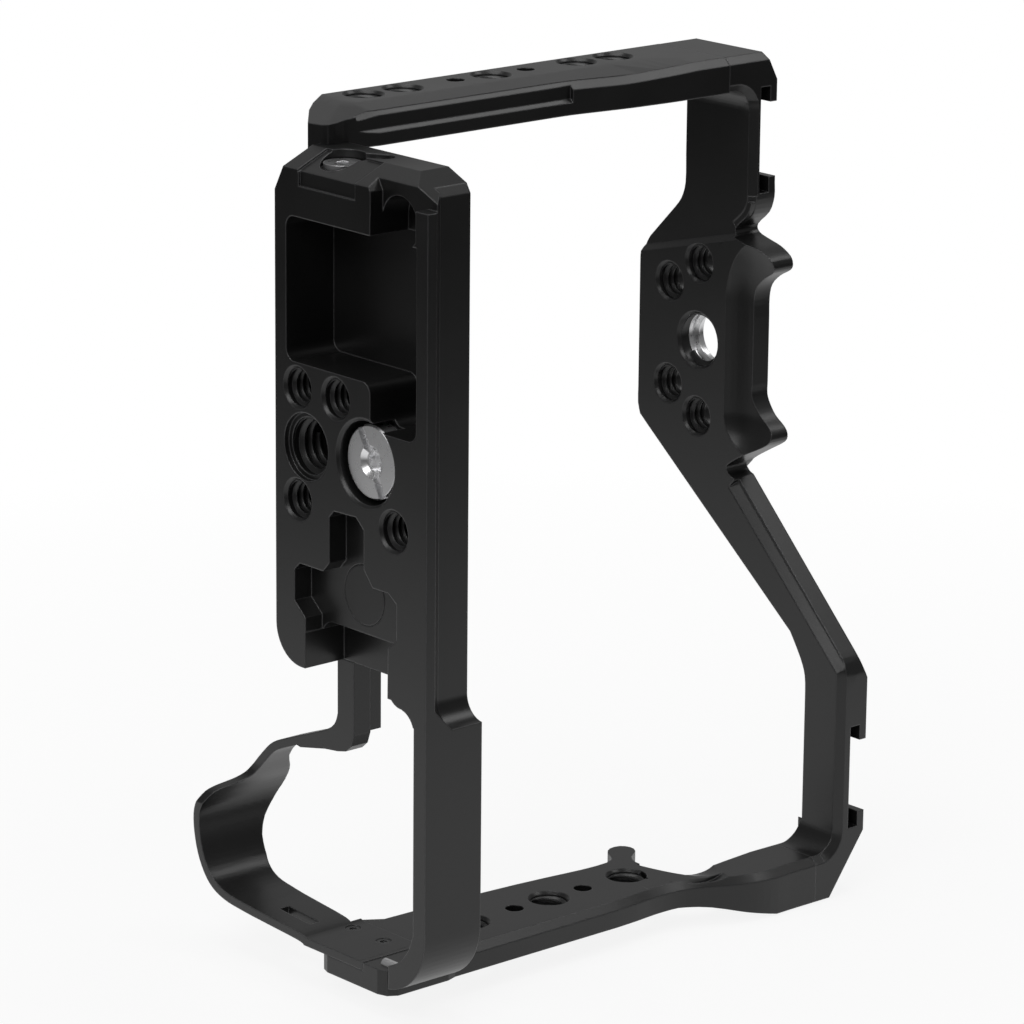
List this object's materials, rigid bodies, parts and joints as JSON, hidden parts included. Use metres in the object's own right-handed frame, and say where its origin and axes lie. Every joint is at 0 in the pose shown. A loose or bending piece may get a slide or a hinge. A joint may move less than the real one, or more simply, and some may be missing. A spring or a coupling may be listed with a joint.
{
  "type": "camera cage",
  "caption": "Full camera cage with a dovetail foot plate, grip wrap, tapped sides, drilled top pad, accessory shoes and a captive camera screw.",
  "frame": {"origin": "centre of the underside of the bounding box, with the cage standing on its grip side as pictured", "axes": "+Z along the camera width from the grip side to the port side, +X from the foot plate to the top plate, +Y from the back towards the lens"},
  "size_m": [0.1048, 0.0611, 0.146],
  "materials": {
    "anodised": "bead-blasted, black anodised, satin matte",
    "steel": "turned stainless steel",
    "black_steel": "black oxide on alloy steel",
    "magnet": "dark nickel-plated magnet",
    "washer": "black nylon"
  },
  "bodies": {
    "frame": {"base_plate": "anodised", "port_upright": "anodised", "grip_upright": "anodised", "top_plate": "anodised", "grip_wrap": "anodised", "anti_twist_lug": "anodised", "tool_magnet": "magnet", "end_screw": "steel", "end_pin": "steel", "core_insert": "steel", "wrap_screws": "black_steel", "lug_screws": "black_steel", "foot_screw": "black_steel", "strip_pins": "steel", "port_joint_screws": "black_steel", "grip_joint_screws": "black_steel", "port_dowel": "steel", "grip_dowel": "steel"},
    "clip_set": {"screw_clip": "steel", "screw_washer": "washer"},
    "camera_screw": {"camera_screw": "steel"}
  },
  "joints": [
    {"name": "camera_screw_travel", "type": "slide", "parent": "frame", "child": "clip_set", "axis": [-1, 0, 0], "range_m": [0, 0.0044]},
    {"name": "camera_screw_turn", "type": "hinge", "parent": "clip_set", "child": "camera_screw", "pos_m": [-0.0444, -0.01535, 0.0931], "axis": [-1, 0, 0], "continuous": true}
  ]
}
